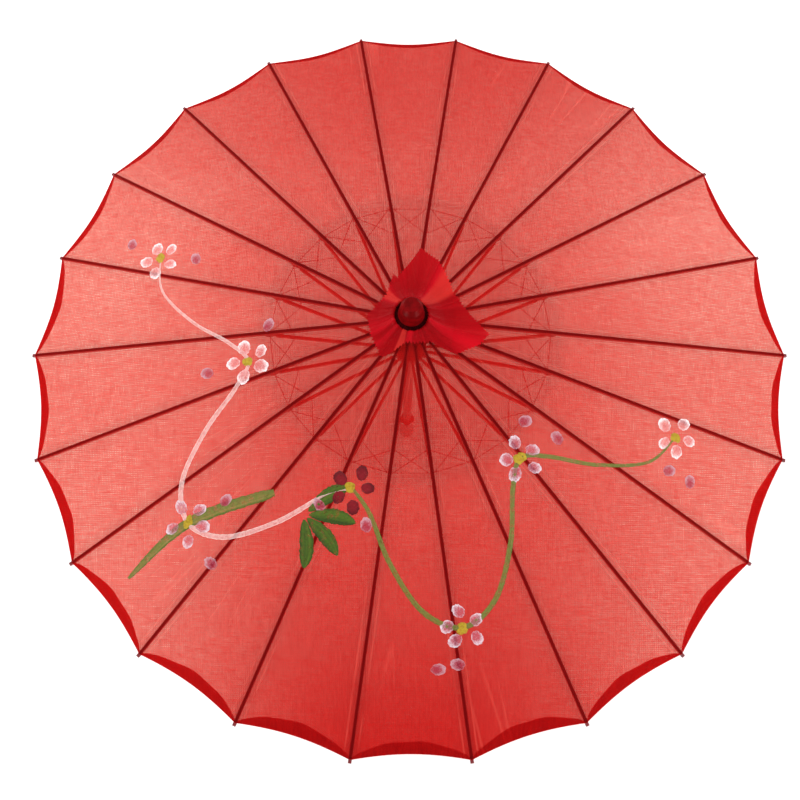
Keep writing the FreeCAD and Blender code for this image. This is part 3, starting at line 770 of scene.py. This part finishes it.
def blossom(painting, centre, pair, rng):
    first = rng.uniform(0, 360)
    for count in range(PETALS):
        bearing = first + 360 * count / PETALS + rng.uniform(-9, 9)
        spot = away_from(centre, bearing, PETAL_RING * rng.uniform(0.88, 1.12))
        size = rng.uniform(*PETAL_LENGTH) * MM
        heading = math.radians(bearing) + rng.uniform(-0.5, 0.5)
        petal(painting, spot, heading, size, size * rng.uniform(*PETAL_FATNESS), pair, rng)
    for _ in range(HEART_DABS):
        spot = away_from(centre, rng.uniform(0, 360), rng.uniform(0, 3.5))
        petal(painting, spot, rng.uniform(0, math.pi), *metres(HEART_SIZE), YELLOW, rng)
    for _ in range(BUDS):
        spot = away_from(centre, rng.uniform(0, 360), BUD_RING * rng.uniform(0.85, 1.15))
        petal(painting, spot, rng.uniform(0, math.pi), *metres(BUD_SIZE), BUD_PINK, rng)


def make_painting():
    rng = random.Random(11)
    painting = Painting()
    last = len(BLOSSOMS) - 1
    stem = [garland_spot(step / (4 * last)) for step in range(4 * last + 1)]
    half = len(stem) // 2
    stroke(painting, stem[:half + 1], metres((1.5, 3.0)), CHALK, rng)
    stroke(painting, stem[half:], metres((3.0, 2.0)), OLIVE, rng)
    stroke(painting, [on_canopy(*place) for place in BRANCH], metres((3.0, 7.0)), OLIVE, rng)
    node = on_canopy(*LEAF_NODE)
    for count in range(LEAVES):
        heading = LEAF_FIRST + LEAF_STEP * count
        line = [away_from(node, heading + bend, LEAF_LENGTH * share)
                for share, bend in ((0.1, 0), (0.6, 5), (1, 0))]
        stroke(painting, line, metres((LEAF_HALF_WIDTH,) * 2), GREEN, rng, leaf=True)
    for count, pair in enumerate(BLOSSOMS):
        blossom(painting, garland_spot(count / last), pair, rng)
    return painting.pieces()


# ---------------------------------------------------------------- lacing

THREAD_R = 0.35 * MM
LACE_INSET = 24 * MM             # joint to the inner hole, along the stretcher
LACE_LEAD = 3 * MM


def tube(path, radius, sides=8):
    """Points and faces of a round thread along straight runs."""
    points, faces = [], []
    for i, spot in enumerate(path):
        run = (path[min(i + 1, len(path) - 1)] - path[max(i - 1, 0)]).normalized()
        side = run.cross(Vector((0, 0, 1))).normalized()
        top = side.cross(run)
        for step in range(sides):
            turn = 2 * math.pi * step / sides
            points.append(spot + (side * math.cos(turn) + top * math.sin(turn)) * radius)
    for i in range(len(path) - 1):
        for step in range(sides):
            following = (step + 1) % sides
            low, high = i * sides, (i + 1) * sides
            faces.append((low + step, low + following, high + following, high + step))
    faces.append(tuple(reversed(range(sides))))
    faces.append(tuple(range((len(path) - 1) * sides, len(path) * sides)))
    return points, faces


def make_lace(index):
    """The thread through one joint and one stretcher hole, out to the middle of each bay."""
    angle = rib_angle(index)
    pitch = math.atan2(JOINT_Z - RUNNER_Z, JOINT_R - PIVOT_R)
    inner_r = JOINT_R - LACE_INSET * math.cos(pitch)
    inner_z = JOINT_Z - LACE_INSET * math.sin(pitch)
    joint, inner = outward(angle, JOINT_R, JOINT_Z), outward(angle, inner_r, inner_z)
    paths = [[inner - tangent(angle) * LACE_LEAD, inner + tangent(angle) * LACE_LEAD]]
    for side in (1, -1):
        neighbour = angle + side * BAY
        next_joint = outward(neighbour, JOINT_R, JOINT_Z)
        chord = (next_joint - joint).normalized()
        next_inner = outward(neighbour, inner_r, inner_z) - tangent(neighbour) * side * LACE_LEAD
        leave_joint = joint + chord * LACE_LEAD
        leave_inner = inner + tangent(angle) * side * LACE_LEAD
        reach_joint = next_joint - chord * LACE_LEAD
        middle = tangent(angle + side * HALF_BAY)
        share = (leave_joint @ middle) / ((leave_joint - next_inner) @ middle)
        crossing = leave_joint.lerp(next_inner, share)
        share = (leave_inner @ middle) / ((leave_inner - reach_joint) @ middle)
        crossing_below = leave_inner.lerp(reach_joint, share) - Vector((0, 0, THREAD_R))
        paths += [[joint, joint.lerp(next_joint, 0.5)], [leave_joint, crossing],
                  [leave_inner, crossing_below]]
    points, faces = [], []
    for path in paths:
        more_points, more_faces = tube(path, THREAD_R)
        faces += [tuple(i + len(points) for i in face) for face in more_faces]
        points += more_points
    return new_mesh(f"lace_{index + 1:02d}", points, faces, THREAD)


# ---------------------------------------------------------------- cap cloth

# Corners of the cloth as it lies, in millimetres, going round from the one towards +Y.
CAP_CORNERS = [
    (10, 78), (-1, 63), (-13, 46), (-17, 50), (-21, 38), (-24, 27), (-33, 17), (-43, 8),
    (-39, -15), (-29, -35), (-25, -35), (-6, -25), (3, -26), (19, -23), (27, -26), (43, -32),
    (65, -24), (75, -14), (60, 5), (42, 30), (39, 40), (27, 63),
]
NECK_R = 8.9 * MM
CREST_R = 16.2 * MM
TEETH_PITCH = 3.3 * MM
TEETH_DEPTH = 2.1 * MM
# Height over the hub's top at a few radii, in millimetres: neck, hollow, crest, then down the side.
CAP_PROFILE = [(8.9, 3.0), (10, 1.0), (12.5, 0.6), (14.6, 1.6), (15.6, 4.4), (16.8, 5.4), (18.6, 4.2),
               (21, 0.5), (25, -4.0), (32, -10.0), (42, -14.5)]


def cap_edge(angle):
    """The cloth's edge in one direction: (plan radius, distance along the outline)."""
    ray = Vector((math.cos(angle), math.sin(angle)))
    best, place, passed = 0.0, 0.0, 0.0
    count = len(CAP_CORNERS)
    for i in range(count):
        a, b = Vector(CAP_CORNERS[i]), Vector(CAP_CORNERS[(i + 1) % count])
        edge = b - a
        bottom = ray.x * edge.y - ray.y * edge.x
        if abs(bottom) > 1e-9:
            reach = (a.x * edge.y - a.y * edge.x) / bottom
            share = (a.x * ray.y - a.y * ray.x) / bottom
            if 0 <= share <= 1 and reach > best:
                best, place = reach, passed + share * edge.length
        passed += edge.length
    return best * MM, place * MM


def cap_reach(angle):
    """Plan radius of the pinked edge."""
    radius, place = cap_edge(angle)
    tooth = abs((place / TEETH_PITCH) % 1 - 0.5) * 2
    return radius - TEETH_DEPTH * tooth


def ridge(turn):
    """A sharp-crested wave, from -1 to 1, that repeats in one turn."""
    return 1 - 2 * abs(math.sin(turn / 2)) ** 0.8


def cap_fold(angle):
    """The cloth's folds round the pole, from about -1 to 1."""
    return (0.5 * ridge(5 * angle + 1.1) + 0.3 * ridge(9 * angle + 2.3)
            + 0.15 * math.sin(15 * angle + 0.4) + 0.08 * math.sin(26 * angle + 1.9))


def cap_z(angle, radius):
    """Up from the neck over the crest, down the hub's side and out over the canopy in folds."""
    radii, heights = zip(*CAP_PROFILE)
    base = HUB_HIGH[2] + float(np.interp(radius / MM, radii, heights)) * MM
    out = min(max((radius - CREST_R) / (40 * MM), 0.0), 1.0)
    gather = math.exp(-((radius - 19 * MM) / (9 * MM)) ** 2)
    folds = cap_fold(angle) * (1.1 + 4.2 * out) * MM + ridge(16 * angle + 0.7) * 1.1 * gather * MM
    if radius < CREST_R:
        return base + folds * (radius / CREST_R) ** 8
    floor = cloth_z(angle, max(radius, INNER_R)) + 0.9 * MM
    lift = max(base + folds + 1.2 * MM * out - floor, 0.0)
    return floor + math.sqrt(lift ** 2 + (1.0 * MM) ** 2)


def make_cap_sector(index):
    """The cap cloth over one rib, with painted shade inside the neck, and pinked along its edge."""
    middle = rib_angle(index)
    rows, columns = 44, 41
    angles = spread(middle - HALF_BAY, middle + HALF_BAY, columns)
    points, folds = [], []
    for share in spread(0.0, 1.0, rows):
        for angle in angles:
            radius = NECK_R + (cap_reach(angle) - NECK_R) * share ** 1.15
            points.append(outward(angle, radius, cap_z(angle, radius)))
            folds.append(0.5 + 0.5 * cap_fold(angle + 0.12 * share))
    sector = new_mesh(f"cap_{index + 1:02d}", points, grid_faces(rows, columns), CAP_CLOTH)
    # The fold values drive painted shade and light in the cloth's colour.
    layer = sector.data.attributes.new("fold", "FLOAT", "POINT")
    layer.data.foreach_set("value", folds)
    # Faces inside the crest take the painted shade.
    sector.data.materials.append(NECK_SHADE_CLOTH)
    for face in sector.data.polygons:
        x, y, _ = face.center
        face.material_index = int(math.hypot(x, y) < CREST_R - 0.6 * MM)
    return sector


# ---------------------------------------------------------------- put together

def gather_to_rib(piece, body):
    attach(piece, body)
    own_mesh(piece)


def make_soft_pieces():
    painted = dict(make_painting())
    for index in range(RIBS):
        angle = rib_angle(index)
        gore, hem = make_gore(index), make_hem(index)
        for piece in (gore, hem):
            gather_to_rib(piece, rib_name(index))
            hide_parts("canopy")
        if index in painted:
            paint = painted[index]
            gather_to_rib(paint, rib_name(index))
        lace = make_lace(index)
        gather_to_rib(lace, stretcher_name(index))
        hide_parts("lace_thread")
        cap = make_cap_sector(index)
        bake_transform(cap)
        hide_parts("cap_cloth")
        reach = math.dist((0, 0), (cap_reach(angle), 12 * MM))


# ---------------------------------------------------------------- studio

def make_floor():
    size = 6.0
    corners = [(-size, -size, 0), (size, -size, 0), (size, size, 0), (-size, size, 0)]
    nodes = Nodes("studio_floor")
    vector, *_ = nodes.place()
    tone = nodes.mix_colour(nodes.noise(vector, 1.5), (0.90, 0.90, 0.90, 1), (0.93, 0.93, 0.93, 1))
    floor = new_mesh("studio_floor", corners, [(0, 1, 2, 3)],
                     nodes.finish(nodes.principled(Base_Color=tone, Roughness=0.9, Specular_IOR_Level=0.1)))


def area_light(name, spot, target, size, power):
    data = bpy.data.lights.new(name, "AREA")
    data.shape = "DISK"
    data.size = size
    data.energy = power
    light = bpy.data.objects.new(name, data)
    light.location = spot
    light.rotation_euler = (Vector(target) - Vector(spot)).to_track_quat("-Z", "Y").to_euler()
    bpy.context.scene.collection.objects.link(light)


def make_lights():
    world = bpy.data.worlds.new("studio")
    world.use_nodes = True
    background = world.node_tree.nodes["Background"]
    background.inputs["Color"].default_value = (1.0, 1.0, 1.0, 1)
    background.inputs["Strength"].default_value = 0.85
    bpy.context.scene.world = world
    area_light("key", (-0.9, 0.7, 2.2), (0, 0, 0.4), 1.2, 20)
    area_light("fill", (1.3, -0.6, 1.9), (0, 0, 0.4), 1.5, 10)
    for turn in range(4):
        angle = math.radians(45 + 90 * turn)
        area_light(f"under_{turn}", outward(angle, 1.15, 0.14), (0, 0, 0.5), 0.5, 8)


CAMERA_PLACE = (-0.0104, -0.2384, 1.1503)
CAMERA_BELOW_LEVEL = 75.86       # how far it looks down, in degrees
CAMERA_LENS = 32.4
SENSOR_WIDTH = 36


def make_camera():
    data = bpy.data.cameras.new("camera")
    data.lens = CAMERA_LENS
    data.sensor_width = SENSOR_WIDTH
    data.clip_start = 0.05
    camera = bpy.data.objects.new("camera", data)
    camera.location = CAMERA_PLACE
    camera.rotation_euler = (math.radians(90 - CAMERA_BELOW_LEVEL), 0, 0)
    bpy.context.scene.collection.objects.link(camera)
    bpy.context.scene.camera = camera
    bpy.context.scene.view_settings.view_transform = "Standard"


dress_frame()
make_soft_pieces()
make_floor()
make_lights()
make_camera()
